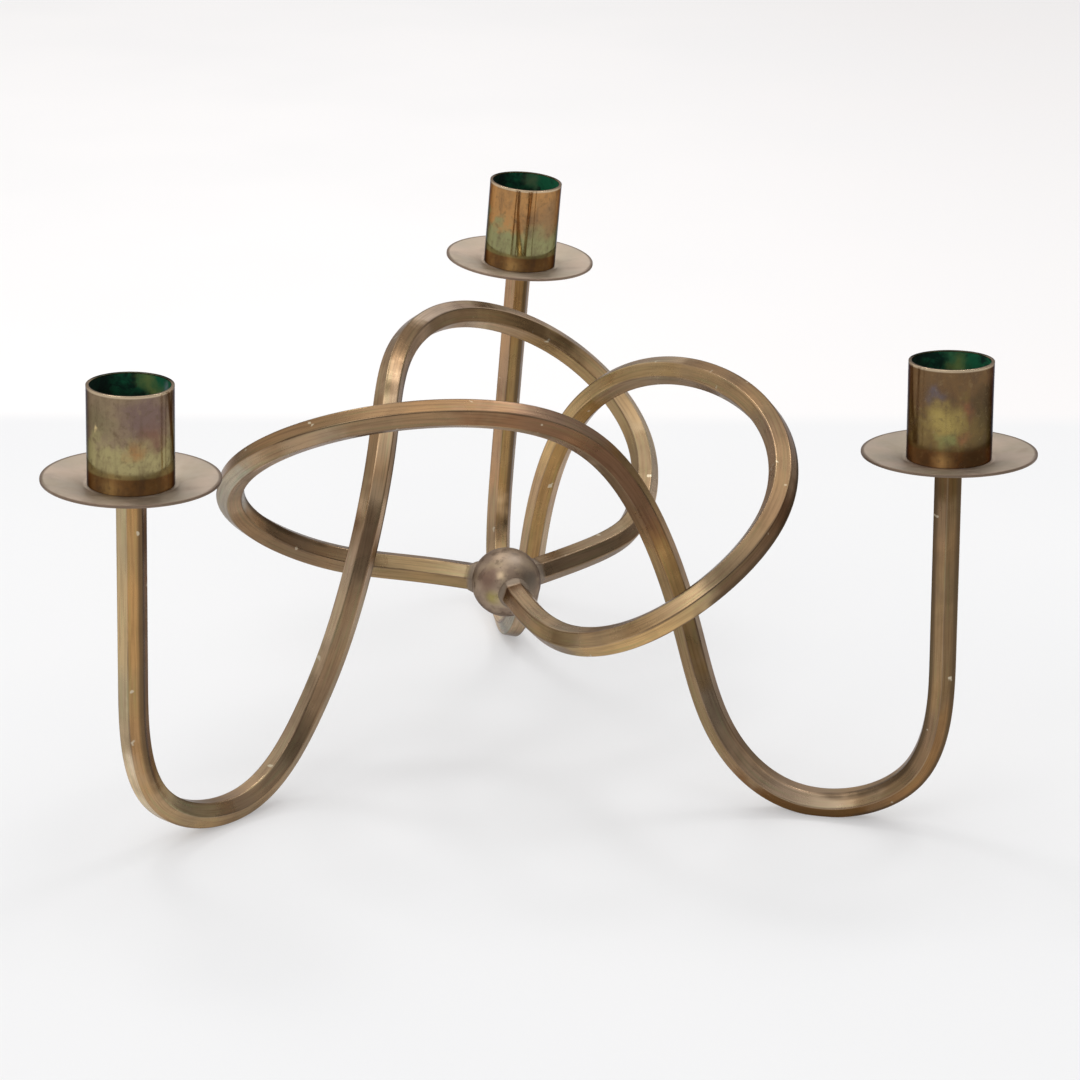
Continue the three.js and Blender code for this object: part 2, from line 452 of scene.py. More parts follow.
def rounded(points, radius):
    """Rounds the corners of a closed outline and adds support points beside them."""
    result = []
    count = len(points)
    for index, point in enumerate(points):
        before = np.array(points[index - 1], float)
        here = np.array(point, float)
        after = np.array(points[(index + 1) % count], float)
        into = before - here
        out = after - here
        into_length = np.linalg.norm(into)
        out_length = np.linalg.norm(out)
        into /= into_length
        out /= out_length
        if into.dot(out) < STRAIGHT:
            result.append(tuple(here))
            continue
        cut = min(radius, into_length * CUT_SHARE, out_length * CUT_SHARE)
        support = cut * SUPPORT_REACH
        result.append(tuple(here + into * min(support, into_length * SUPPORT_SHARE)))
        for step in range(ROUNDING_STEPS + 1):
            share = step / ROUNDING_STEPS
            curve = (1 - share) ** 2 * (here + into * cut) + 2 * share * (1 - share) * here
            curve = curve + share ** 2 * (here + out * cut)
            result.append(tuple(curve))
        result.append(tuple(here + out * min(support, out_length * SUPPORT_SHARE)))
    return result


def stack_place(side):
    """Matrix of a stem's top, with its x axis turned back to the row's x, in metres."""
    arm = ARMS[side]
    turn, shift = arm_place(side)
    origin = turn @ np.array([STEM_REACH, 0, arm["stem_top"]]) + shift
    level = turn @ rotation("Z", -arm["bearing"])
    matrix = Matrix(level.tolist()).to_4x4()
    matrix.translation = Vector((origin * MM).tolist())
    return matrix


def build_pan(side, look):
    lower = []
    upper = []
    for step in range(PAN_STEPS + 1):
        share = step / PAN_STEPS
        radius = PAN_SEAT_RADIUS + (PAN_RADIUS - PAN_SEAT_RADIUS) * share
        rise = PAN_RISE * share * (2 - share)
        lower.append((radius, PAN_TOP - PAN_THICKNESS + rise))
        upper.insert(0, (radius, PAN_TOP + rise))
    outline = [
        (BORE_RADIUS, REST_GAP),
        (PAN_SEAT_RADIUS / 2, REST_GAP),
        *lower,
        *upper,
        (BORE_RADIUS, PAN_TOP),
    ]
    obj = lathe(f"pan_{side}", rounded(outline, PAN_ROUNDING), stack_place(side), [look])
    return finish_piece(obj, f"drip_pan_{side}")


def build_cup(side, outside, inside):
    inner = CUP_RADIUS - CUP_WALL
    outline = [
        (BORE_RADIUS, CUP_BOTTOM),
        (CUP_RADIUS, CUP_BOTTOM),
        (CUP_RADIUS, CUP_TOP),
        (inner, CUP_TOP),
        (inner, CUP_FLOOR_TOP),
        (CUP_RECESS_RADIUS, CUP_FLOOR_TOP),
        (CUP_RECESS_RADIUS, CUP_RECESS_TOP),
        (BORE_RADIUS, CUP_RECESS_TOP),
    ]

    def face_look(first, second):
        """1, the inside's look, for faces between the recess and the rim, and 0 for the others."""
        radius = max(first[0], second[0])
        low = min(first[1], second[1])
        high = max(first[1], second[1])
        within = radius <= inner + INSIDE_SLACK and low > CUP_BOTTOM + INSIDE_LIFT
        return 1 if within and high < CUP_TOP - INSIDE_DROP else 0

    shape = rounded(outline, CUP_ROUNDING)
    obj = lathe(f"cup_{side}", shape, stack_place(side), [outside, inside], face_look)
    return finish_piece(obj, f"candle_cup_{side}")


def build_ball(look):
    """A ball with a flat seat for each arm."""
    centre = hub_centre()
    work = bmesh.new()
    bmesh.ops.create_icosphere(work, subdivisions=BALL_SUBDIVISIONS, radius=HUB_DIAMETER / 2)
    directions = []
    for side, arm in ARMS.items():
        turn, shift = arm_place(side)
        hub = turn.T @ (centre - shift)
        direction = turn @ (arm_bends(arm)[0] - hub)
        directions.append(Vector((direction / np.linalg.norm(direction)).tolist()))
    for vert in work.verts:
        for direction in directions:
            height = vert.co.dot(direction)
            if height > HUB_SEAT:
                vert.co *= HUB_SEAT / height
    mesh = bpy.data.meshes.new("ball")
    work.to_mesh(mesh)
    work.free()
    mesh.transform(Matrix.Scale(MM, 4))
    mesh.polygons.foreach_set("use_smooth", [True] * len(mesh.polygons))
    mesh.materials.append(look)
    obj = bpy.data.objects.new("ball", mesh)
    bpy.context.scene.collection.objects.link(obj)
    obj.location = Vector((centre * MM).tolist())
    bpy.context.view_layer.update()
    return finish_piece(obj, "hub_ball")


# Materials


def colour(value):
    """Three numbers become a colour with alpha. Anything else is passed on."""
    return (*value, 1.0) if isinstance(value, tuple) and len(value) == 3 else value


class Look:
    """Short calls for building one procedural material."""

    def __init__(self, name):
        self.material = bpy.data.materials.new(name)
        self.material.use_nodes = True
        self.tree = self.material.node_tree
        self.tree.nodes.clear()
        self.coordinates = self.tree.nodes.new("ShaderNodeTexCoord")

    def node(self, kind, inputs=None, **settings):
        made = self.tree.nodes.new(kind)
        for key, value in settings.items():
            setattr(made, key, value)
        for key, value in (inputs or {}).items():
            self.set(made.inputs[key], value)
        return made

    def set(self, socket, value):
        if isinstance(value, bpy.types.NodeSocket):
            self.tree.links.new(value, socket)
        else:
            socket.default_value = value

    def place(self, scale=(1, 1, 1), move=(0, 0, 0), source="Object"):
        inputs = {"Vector": self.coordinates.outputs[source], "Scale": scale, "Location": move}
        return self.node("ShaderNodeMapping", inputs).outputs["Vector"]

    def axes(self, vector):
        return self.node("ShaderNodeSeparateXYZ", {"Vector": vector}).outputs

    def noise(self, vector, scale, detail=3.0, roughness=0.55, distortion=0.0):
        inputs = {"Vector": vector, "Scale": scale, "Detail": detail,
                  "Roughness": roughness, "Distortion": distortion}
        return self.node("ShaderNodeTexNoise", inputs).outputs["Fac"]

    def math(self, operation, first, second=0.0):
        made = self.node("ShaderNodeMath", {0: first, 1: second}, operation=operation)
        return made.outputs[0]

    def times(self, first, second):
        return self.math("MULTIPLY", first, second)

    def away(self, value, place):
        """How far a value is from a place, either way."""
        return self.math("ABSOLUTE", self.math("SUBTRACT", value, place))

    def step(self, value, low, high, out_low=0.0, out_high=1.0):
        """A soft step: out_low up to low and out_high from high on."""
        inputs = {"Value": value, "From Min": low, "From Max": high,
                  "To Min": out_low, "To Max": out_high}
        made = self.node("ShaderNodeMapRange", inputs, interpolation_type="SMOOTHSTEP")
        return made.outputs["Result"]

    def step_mm(self, value, low, high, out_low=0.0, out_high=1.0):
        """A soft step of a value in metres between two places in millimetres."""
        return self.step(value, low * MM, high * MM, out_low, out_high)

    def swing(self, noise, amount):
        """Noise from 0 to 1 turned into a swing of up to half the amount either way."""
        return self.times(self.math("SUBTRACT", noise, 0.5), amount)

    def stretch(self, along, start, end):
        """1 on a stretch of the bar, in millimetres, with soft ends."""
        reach = (end - start) / 2
        off = self.away(along, (start + end) / 2)
        return self.step(off, reach - ZONE_SOFT, reach + ZONE_SOFT, 1.0, 0.0)

    def mix(self, share, first, second, blend="MIX"):
        made = self.tree.nodes.new("ShaderNodeMix")
        made.data_type = "RGBA"
        made.blend_type = blend
        sockets = [s for s in made.inputs if s.enabled]
        self.set(sockets[0], share)
        self.set(sockets[1], colour(first))
        self.set(sockets[2], colour(second))
        return [s for s in made.outputs if s.enabled][0]

    def wander(self, scale, amount, move=(0, 0, 0)):
        """Object coordinates pushed about by noise, by up to half the amount in millimetres."""
        start = self.place(move=move)
        noise = self.node("ShaderNodeTexNoise", {"Vector": start, "Scale": scale, "Detail": 3.0})
        back = self.place(move=(-amount * MM / 2,) * 3)
        inputs = {0: noise.outputs["Color"], 1: (amount * MM,) * 3, 2: back}
        made = self.node("ShaderNodeVectorMath", inputs, operation="MULTIPLY_ADD")
        return made.outputs["Vector"]

    def spot(self, centre, radius, soft, vector):
        """1 inside a ball round a place in millimetres, falling to 0 outside."""
        inputs = {0: vector, 1: tuple(c * MM for c in centre)}
        made = self.node("ShaderNodeVectorMath", inputs, operation="DISTANCE")
        return self.step_mm(made.outputs["Value"], radius - soft, radius + soft, 1.0, 0.0)

    def bump(self, height, strength, distance, normal=None):
        inputs = {"Height": height, "Strength": strength, "Distance": distance * MM}
        if normal is not None:
            inputs["Normal"] = normal
        return self.node("ShaderNodeBump", inputs).outputs["Normal"]

    def finish(self, base, roughness, normal, metallic=1.0, edge=(1.0, 1.0, 1.0), shine=0.5):
        inputs = {"Base Color": colour(base), "Roughness": roughness, "Metallic": metallic,
                  "Specular Tint": colour(edge), "Specular IOR Level": shine, "Normal": normal}
        shader = self.node("ShaderNodeBsdfPrincipled", inputs)
        self.node("ShaderNodeOutputMaterial", {"Surface": shader.outputs[0]})
        return self.material


# How far each side's noise is moved, in metres
NOISE_MOVE = {"back": 0.4, "right": 0.5, "left": 0.4}

# Tarnish reflects little where it is seen edge-on
EDGE = (0.27, 0.29, 0.35)
BAR_EDGE = (0.56, 0.56, 0.58)

BRASS_LIGHT = (0.427, 0.283, 0.162)
BRASS_DULL = (0.338, 0.246, 0.162)
BRASS_ROSE = (0.37, 0.24, 0.165)
BRASS_BROWN = (0.15, 0.1, 0.065)
BRASS_STREAK = (0.2, 0.13, 0.08)
BRASS_OLIVE = (0.3, 0.275, 0.15)
BRASS_BARE = (0.62, 0.54, 0.4)
BRAZE_BRASS_AND_SHADE = (0.3, 0.24, 0.185)
CORNER_SHADE_PAINT = (0.09, 0.06, 0.035)
CORNER_LINE_SHADE = (0.12, 0.08, 0.05)
# How far, in millimetres, a zone's ends are soft and waver
ZONE_SOFT = 9
ZONE_WAVER = 60.0
# Where a zone ends to the sides and where a dark corner does, in flats from its middle
ZONE_SIDE = (0.43, 0.53)
CORNER_SIDE = (0.15, 0.45)
# Millimetres over which the bar's colour turns to the braze's
BRAZE_BLEND = 2

BALL_LIGHT = (0.4, 0.305, 0.22)
BALL_DULL = (0.29, 0.215, 0.16)
BALL_DARK = (0.16, 0.115, 0.08)
BALL_PALE = (0.42, 0.33, 0.22)

PAN_BRIGHT = (0.48, 0.385, 0.31)
PAN_DULL = (0.41, 0.345, 0.27)
PAN_BLOTCH = (0.3, 0.235, 0.18)
PAN_EDGE = (0.16, 0.105, 0.07)
PAN_FAR_RIM_SHADE = (0.12, 0.08, 0.055)
# In millimetres: where the edge starts, where the far rim's painted shade does, and where the
# pan's back does
PAN_EDGE_START = (PAN_RADIUS - 0.65, PAN_RADIUS - 0.15)
PAN_RIM_START = (PAN_RADIUS - 1.3, PAN_RADIUS - 0.6)
PAN_BACK_START = (-16, -4)

# In millimetres: where the lower colour turns to the upper one, how far that boundary wavers, and
# where the painted reflection of the pan at the bottom ends
CUP_BOUNDARY = (14.3, 21.3)
CUP_WAVER = 30
CUP_REFLECTION_TOP = (5.8, 6.6)
# The rim's start in height, and where its painted light in front turns to painted shade behind
CUP_RIM = (CUP_TOP - 0.95, CUP_TOP - 0.4)
CUP_RIM_TURN = (1, 7)
# The painted highlight's depth and height, and its radius and softness
CUP_GLINT_PLACE = (-12.5, 3)
CUP_GLINT_SIZE = (2, 3)
CUP_PAN_REFLECTION = (0.2, 0.1, 0.042)
CUP_GLINT = (0.62, 0.44, 0.2)
CUP_CLOUD = (0.12, 0.075, 0.05)
CUP_SPECK_DARK = (0.13, 0.09, 0.05)
CUP_SPECK_PALE = (0.33, 0.25, 0.13)
CUP_STREAK = (0.12, 0.08, 0.05)
CUP_RIM_BARE_AND_SHEEN = (0.6, 0.47, 0.32)
CUP_RIM_SHADE = (0.05, 0.06, 0.035)

CRUST_DARK = (0.006, 0.03, 0.02)
CRUST_GREEN = (0.012, 0.13, 0.06)
INSIDE_DARK_LEFT = (0.006, 0.012, 0.01)
INSIDE_DARK_LOW = (0.008, 0.012, 0.007)
# In millimetres: where the near black on the left ends, and where the one low down does
INSIDE_DARK_LEFT_END = (-9, -3)
INSIDE_DARK_LOW_END = (22, 28)

SCREW_BRASS = (0.17, 0.15, 0.075)
SCREW_GREEN = (0.07, 0.1, 0.06)


def bar_look(side, zones):
    """Drawn brass bar: tarnish, streaks, then zones of tint, painted highlight and shade on flats.
    """
    look = Look(f"bar_brass_{side}")
    space = look.place()
    shift = NOISE_MOVE[side]
    # millimetres along the bar from the stem's top, and flats round it from 0 to 6
    uv = look.axes(look.place(source="UV"))
    true_along = look.times(uv["X"], float(UV_LENGTH))
    along = look.math("ADD", true_along, look.swing(look.noise(space, 60, 3.0), ZONE_WAVER))
    around = look.times(uv["Y"], float(BAR_SIDES))
    # broad tarnish, then browner clouds
    broad = look.noise(look.place(move=(shift, 0, 0)), 30, 2.0)
    base = look.mix(look.step(broad, 0.36, 0.64), BRASS_LIGHT, BRASS_DULL)
    rose = look.noise(look.place(move=(0.7, 0.4, shift)), 34, 3.0)
    base = look.mix(look.step(rose, 0.5, 0.7, 0.0, 0.4), base, BRASS_ROSE)
    clouds = look.noise(look.place(move=(0.3, shift, 0.2)), 70, 5.0, 0.6, 0.5)
    base = look.mix(look.step(clouds, 0.48, 0.72, 0.0, 0.3), base, BRASS_BROWN)
    # streaks drawn along the bar, brown and then olive
    streaks = look.noise(look.place((5, 38, 1), source="UV"), 1.0, 4.0, 0.6)
    base = look.mix(look.step(streaks, 0.42, 0.68, 0.0, 0.55), base, BRASS_STREAK)
    olive = look.noise(look.place((4, 26, 1), (3.1, 0.7, 0), source="UV"), 1.0, 3.0, 0.6)
    base = look.mix(look.step(olive, 0.5, 0.68, 0.0, 0.4), base, BRASS_OLIVE)
    # zones on single flats: tarnish tints, and painted highlights, reflections and shade
    masks = {}
    for flat, start, end, tint in zones:
        if flat not in masks:
            masks[flat] = look.step(look.away(around, flat + 0.5), *ZONE_SIDE, 1.0, 0.0)
        share = look.times(masks[flat], look.stretch(along, start, end))
        base = look.mix(share, base, tint, "MULTIPLY")
    # painted shade along stretches of some corners between the flats
    for place, start, end in SHADED_CORNERS[side]:
        line = look.step(look.away(around, place), *CORNER_SIDE, 0.8, 0.0)
        share = look.times(line, look.stretch(along, start, end))
        base = look.mix(share, base, CORNER_SHADE_PAINT)
    # the braze is greyer and duller than the bar; its darker colour is partly painted shade on its
    # highlight
    braze = look.step(true_along, BRAZE_START[side], BRAZE_START[side] + BRAZE_BLEND)
    base = look.mix(braze, base, BRAZE_BRASS_AND_SHADE)
    # painted shade along some stretches of the corners between the flats
    corner = look.step(look.away(look.math("FRACT", around), 0.5), 0.38, 0.48)
    patches = look.noise(look.place((2.5, 6, 1), (0.4, 0.9, 0), "UV"), 1.0, 2.0)
    corner_shade = look.times(corner, look.step(patches, 0.45, 0.6, 0.0, 0.5))
    base = look.mix(corner_shade, base, CORNER_LINE_SHADE)
    # pale specks where the tarnish is knocked off
    specks = look.noise(look.place(move=(0.2, 0.6, 0.9)), 210, 2.0, 0.5)
    base = look.mix(look.step(specks, 0.72, 0.76, 0.0, 0.75), base, BRASS_BARE)
    roughness = look.step(look.noise(space, 90, 4.0), 0.3, 0.7, 0.22, 0.36)
    roughness = look.math("ADD", roughness, look.times(braze, 0.3))
    grain = look.noise(look.place((20, 120, 1), source="UV"), 1.0, 3.0)
    normal = look.bump(grain, 0.08, 0.1)
    normal = look.bump(look.noise(space, 75, 2.0), 0.35, 0.35, normal)
    return look.finish(base, roughness, normal, edge=BAR_EDGE)


def ball_look():
    look = Look("hub_brass")
    space = look.wander(260, 2)
    broad = look.step(look.noise(space, 150, 4.0), 0.4, 0.6)
    base = look.mix(broad, BALL_LIGHT, BALL_DULL)
    dark = look.noise(look.place(move=(0.1, 0.3, 0)), 300, 4.0, 0.65)
    base = look.mix(look.step(dark, 0.5, 0.66, 0, 0.7), base, BALL_DARK)
    pale = look.noise(look.place(move=(0.6, 0.2, 0.4)), 210, 3.0)
    base = look.mix(look.step(pale, 0.55, 0.7, 0, 0.6), base, BALL_PALE)
    centre, size, soft, tint = BALL_SHADE
    base = look.mix(look.spot(centre, size, soft, space), base, tint)
    # tarnish spots and painted highlights, each letting a little through
    for centre, size, soft, tint in BALL_SPOTS_AND_GLINTS:
        base = look.mix(look.times(look.spot(centre, size, soft, space), 0.75), base, tint)
    roughness = look.step(look.noise(space, 200, 3.0), 0.3, 0.7, 0.42, 0.56)
    normal = look.bump(look.noise(space, 320, 3.0), 0.25, 0.15)
    return look.finish(base, roughness, normal, edge=EDGE)


def pan_look(side, light):
    look = Look(f"pan_brass_{side}")
    shift = NOISE_MOVE[side]
    space = look.place(move=(shift, 0, 0))
    broad = look.step(look.noise(space, 55, 4.0), 0.35, 0.65)
    base = look.mix(broad, PAN_BRIGHT, PAN_DULL)
    blotches = look.noise(look.place(move=(0.5, shift, 0)), 120, 5.0, 0.6)
    base = look.mix(look.step(blotches, 0.5, 0.75, 0, 0.5), base, PAN_BLOTCH)
    own = look.axes(look.coordinates.outputs["Object"])
    squares = look.math("ADD", look.times(own["X"], own["X"]), look.times(own["Y"], own["Y"]))
    radius = look.math("SQRT", squares)
    edge = look.step_mm(radius, *PAN_EDGE_START)
    base = look.mix(look.times(edge, 0.75), base, PAN_EDGE)
    # painted shade along the far rim and the sides, darker still
    rim = look.step_mm(radius, *PAN_RIM_START)
    back = look.step_mm(own["Y"], *PAN_BACK_START)
    base = look.mix(look.times(look.times(rim, back), 0.8), base, PAN_FAR_RIM_SHADE)
    base = look.mix(1.0, base, (light, light, light), "MULTIPLY")
    roughness = look.step(look.noise(space, 150, 3.0), 0.3, 0.7, 0.45, 0.6)
    normal = look.bump(look.noise(space, 420, 3.0), 0.12, 0.1)
    return look.finish(base, roughness, normal)


def cup_look(side, upper, lower, glint_x, dull, spots):
    """Heat-tinted tube: two colours with an uneven boundary, a painted pan reflection and spots."""
    look = Look(f"cup_brass_{side}")
    shift = NOISE_MOVE[side]
    space = look.place()
    own = look.axes(space)
    wobble = look.noise(look.place(move=(2 * shift, 0, 0)), 110, 5.0, 0.6, 0.3)
    level = look.math("ADD", own["Z"], look.swing(wobble, CUP_WAVER * MM))
    base = look.mix(look.step_mm(level, *CUP_BOUNDARY), lower, upper)
    # painted reflection of the pan round the cup's bottom
    pan_reflection = look.step_mm(own["Z"], *CUP_REFLECTION_TOP, 1.0, 0.0)
    base = look.mix(look.times(pan_reflection, 0.85), base, CUP_PAN_REFLECTION)
    own_place = look.coordinates.outputs["Object"]
    # a painted highlight low on the cup
    glint = look.spot((glint_x, *CUP_GLINT_PLACE), *CUP_GLINT_SIZE, own_place)
    base = look.mix(look.times(glint, 0.7), base, CUP_GLINT)
    clouds = look.noise(look.place((1, 1, 0.5), (0.4, 3 * shift, 0)), 170, 5.0, 0.65, 0.6)
    base = look.mix(look.step(clouds, 0.48, 0.7, 0, 0.6), base, CUP_CLOUD)
    wander = look.wander(190, 9, (0.3, shift, 0.2))
    for centre, size, soft, tint in spots:
        base = look.mix(look.times(look.spot(centre, size, soft, wander), 0.85), base, tint)
    fine = look.noise(look.place(move=(0.9, 0.1, 0.5)), 620, 4.0, 0.6)
    base = look.mix(look.step(fine, 0.5, 0.7, 0, 0.45), base, CUP_SPECK_DARK)
    base = look.mix(look.step(fine, 0.32, 0.45, 0.2, 0.0), base, CUP_SPECK_PALE)
    streaks = look.noise(look.place((1, 1, 0.08)), 420, 3.0)
    base = look.mix(look.step(streaks, 0.45, 0.75, 0, 0.35), base, CUP_STREAK)
    # the rim is bare brass with a painted highlight in front, and painted shade at the back
    rim = look.step_mm(own["Z"], *CUP_RIM)
    far = look.step_mm(own["Y"], *CUP_RIM_TURN)
    brass = look.mix(far, CUP_RIM_BARE_AND_SHEEN, CUP_RIM_SHADE)
    base = look.mix(look.times(rim, 0.85), base, brass)
    normal = look.bump(look.noise(space, 160, 2.0), 0.12, 0.15)
    return look.finish(base, look.step(clouds, 0.3, 0.7, dull, 2 * dull), normal, edge=EDGE)


def cup_inside_look(side, spots):
    """Green crust inside a cup."""
    look = Look(f"cup_inside_{side}")
    shift = NOISE_MOVE[side]
    space = look.place(move=(1.3 * shift, 0.2, 0))
    green = look.step(look.noise(space, 150, 5.0, 0.65, 0.6), 0.4, 0.56)
    base = look.mix(green, CRUST_DARK, CRUST_GREEN)
    wander = look.wander(230, 7, (shift, 0, 0))
    # near black to the left and low down
    own = look.axes(wander)
    left = look.step_mm(own["X"], *INSIDE_DARK_LEFT_END, 0.85, 0.0)
    base = look.mix(left, base, INSIDE_DARK_LEFT)
    low = look.step_mm(own["Z"], *INSIDE_DARK_LOW_END, 0.92, 0.0)
    base = look.mix(low, base, INSIDE_DARK_LOW)
    for centre, size, tint in spots:
        base = look.mix(look.times(look.spot(centre, size, size, wander), 0.9), base, tint)
    normal = look.bump(look.noise(space, 500, 4.0), 0.4, 0.25)
    return look.finish(base, 0.6, normal, metallic=0.0, shine=0.15)


def screw_look():
    look = Look("screw_brass")
    space = look.place()
    green = look.step(look.noise(space, 300, 4.0), 0.35, 0.65)
    base = look.mix(green, SCREW_BRASS, SCREW_GREEN)
    roughness = look.step(look.noise(space, 500, 3.0), 0.3, 0.7, 0.4, 0.6)
    normal = look.bump(look.noise(space, 700, 3.0), 0.25, 0.15)
    return look.finish(base, roughness, normal)


# The floor's colour near the object, in the backdrop, its painted shade to the backdrop's right,
# and the soft clouds in it
FLOOR_NEAR = (0.854, 0.86, 0.876)
FLOOR_FAR = (0.955, 0.942, 0.948)
FLOOR_RIGHT_SHADE = (0.94, 0.935, 0.935)
FLOOR_CLOUD = (0.89, 0.89, 0.9)
# Where the backdrop starts, and where its painted shade on the right does, in metres
BACKDROP_START = (0.3, 0.325)
BACKDROP_RIGHT = (-0.1, 0.35)
# The share of its own light that the camera and reflections see in the floor
FLOOR_GLOW = 0.37


def floor_look():
    look = Look("floor")
    own = look.axes(look.place())
    far = look.step(own["Y"], *BACKDROP_START)
    # painted shade to the backdrop's right
    right = look.times(far, look.step(own["X"], *BACKDROP_RIGHT))
    cloud = look.step(look.noise(look.place(), 5, 2.0), 0.3, 0.7, 0.0, 0.35)
    white = look.mix(far, FLOOR_NEAR, FLOOR_FAR)
    white = look.mix(right, white, FLOOR_RIGHT_SHADE, "MULTIPLY")
    white = look.mix(cloud, white, FLOOR_CLOUD)
    matt = look.node("ShaderNodeBsdfDiffuse", {"Color": white})
    glow = look.node("ShaderNodeEmission", {"Color": white, "Strength": 1.0})
    path = look.node("ShaderNodeLightPath").outputs
    seen = look.math("MAXIMUM", path["Is Camera Ray"], path["Is Glossy Ray"])
    seen = look.math("MAXIMUM", seen, path["Is Transmission Ray"])
    inputs = {0: look.times(seen, FLOOR_GLOW), 1: matt.outputs[0], 2: glow.outputs[0]}
    both = look.node("ShaderNodeMixShader", inputs)
    look.node("ShaderNodeOutputMaterial", {"Surface": both.outputs[0]})
    return look.material


# The object

# Tints of the zones, as shares of the bar's own colour: tarnish tones, painted highlight and shade
KHAKI = (1.3, 1.4, 1.3)
HONEY = (1.2, 1.02, 0.7)
LIGHT = (1.5, 1.55, 1.6)
BRIGHT = (1.42, 1.38, 1.08)
GOLDEN = (1.0, 0.88, 0.58)
UMBER = (0.8, 0.65, 0.45)
SHADE = (0.76, 0.71, 0.65)
ROSE = (0.74, 0.68, 0.72)
DEEP = (0.58, 0.53, 0.43)
RUST = (0.63, 0.5, 0.44)
PEWTER = (1.15, 1.45, 1.8)
PALE = (1.7, 1.85, 2.2)
CREAM = (1.25, 1.35, 1.45)
DIM = (0.52, 0.49, 0.46)
AMBER = (0.92, 0.9, 0.74)
TAN = (1.2, 1.18, 1.05)
BLUSH = (1.12, 1.0, 0.94)
GREY_SHADE = (0.6, 0.58, 0.53)
DARK = (0.5, 0.42, 0.36)
PAINTED_SHADE_BROWN = (0.55, 0.4, 0.22)
GLINT = (2.1, 2.3, 2.5)
FAINT = (1.04, 1.1, 1.08)
# The flat, where the zone starts and ends along the bar in millimetres from the stem's top, and
# its tint
BAR_LOOKS = {
    "back": [
        (3, -20, 85, GOLDEN), (0, 195, 280, GOLDEN), (1, 190, 245, TAN), (1, 245, 318, BRIGHT),
        (1, 318, 360, TAN), (2, 320, 360, SHADE), (2, 360, 440, GREY_SHADE), (3, 395, 438, DARK),
        (3, 440, 495, BRIGHT), (2, 440, 480, TAN), (2, -20, 84, BLUSH), (3, 88, 125, LIGHT),
        (3, 88, 125, TAN), (1, 475, 540, CREAM), (2, 270, 320, LIGHT), (0, 155, 195, LIGHT),
        (1, 160, 190, PEWTER), (5, 195, 280, LIGHT), (1, 120, 160, GLINT), (2, 120, 160, GLINT),
        (0, 480, 536, GLINT), (2, 485, 515, AMBER), (2, 515, 540, SHADE),
    ],
    "right": [
        (4, -20, 122, SHADE), (5, -20, 80, DEEP), (5, 112, 158, PAINTED_SHADE_BROWN), (5, 78, 112, UMBER),
        (4, 124, 160, LIGHT), (4, 200, 245, GOLDEN), (4, 240, 320, RUST), (4, 318, 360, SHADE),
        (3, 275, 400, ROSE), (0, 435, 480, SHADE), (0, 484, 540, KHAKI), (5, 435, 482, SHADE),
        (4, 396, 438, PEWTER), (0, 396, 434, PEWTER), (5, 162, 240, AMBER), (5, 484, 560, AMBER),
        # (4, -20, 10, DEEP) and (5, -20, 10, DEEP) are painted shadow under the pan
        (4, 36, 84, TAN), (4, -20, 10, DEEP), (5, -20, 10, DEEP), (3, 162, 200, SHADE),
        (3, 240, 275, GOLDEN), (3, 320, 400, AMBER), (5, 240, 278, SHADE), (5, 280, 320, LIGHT),
        (5, 355, 396, PALE),
    ],
    "left": [
        (0, -20, 112, KHAKI), (0, 84, 120, PALE), (1, -20, 84, HONEY), (1, 84, 125, TAN),
        (2, -20, 90, PAINTED_SHADE_BROWN), (2, 75, 125, KHAKI), (1, 115, 205, TAN), (1, 205, 250, LIGHT),
        (2, 158, 240, SHADE), (3, 198, 242, LIGHT), (2, 242, 280, LIGHT), (3, 240, 280, SHADE),
        (2, 280, 318, DIM), (2, 320, 404, PALE), (1, 318, 400, DEEP), (1, 396, 432, TAN),
        (1, 432, 490, FAINT), (1, 444, 480, SHADE), (0, 385, 480, AMBER), (0, 305, 365, LIGHT),
        (2, 478, 540, SHADE), (2, 404, 476, GLINT),
    ],
}
# Where the bar's colour starts to turn to the braze's, in millimetres from the stem's top
BRAZE_START = {"back": 535, "right": 521, "left": 528}
# Corners between flats with painted shade for a stretch: the flat that starts there, and from where
# to where
SHADED_CORNERS = {
    "back": [(4, -20, 90), (4, 358, 442)],
    "right": [(4, -20, 130), (6, -20, 130), (1, 400, 470)],
    "left": [(2, -20, 90), (1, 225, 300)],
}
# Spots are balls: centre, radius, softness and colour. The shade hides what is under it, and the
# others let a little through.
BALL_SHADE = ((7, -7, 3), 3.5, 2.5, (0.22, 0.18, 0.14))
BALL_SPOTS_AND_GLINTS = [
    ((-6, -8.4, 4), 3, 3, (0.3, 0.185, 0.145)),
    # the next two are painted highlights: a yellow-olive streak and a small warm glint
    ((-4.2, -10, -1.6), 1.8, 1.8, (0.46, 0.39, 0.13)),
    ((-1.6, -9.4, 5.7), 1, 1, (0.75, 0.58, 0.38)),
    ((3, -4.5, 9.5), 3, 3, (0.28, 0.23, 0.185)),
    ((3.5, -10, 1.5), 2.5, 2, (0.36, 0.29, 0.23)),
]
# How light each pan is beside the others
PAN_LIGHT = {"back": 1.24, "right": 0.98, "left": 1.06}
ORANGE = (0.36, 0.18, 0.07)
PURPLE = (0.17, 0.11, 0.1)
BLUE = (0.125, 0.11, 0.13)
BAND_SHADE = (0.1, 0.06, 0.03)
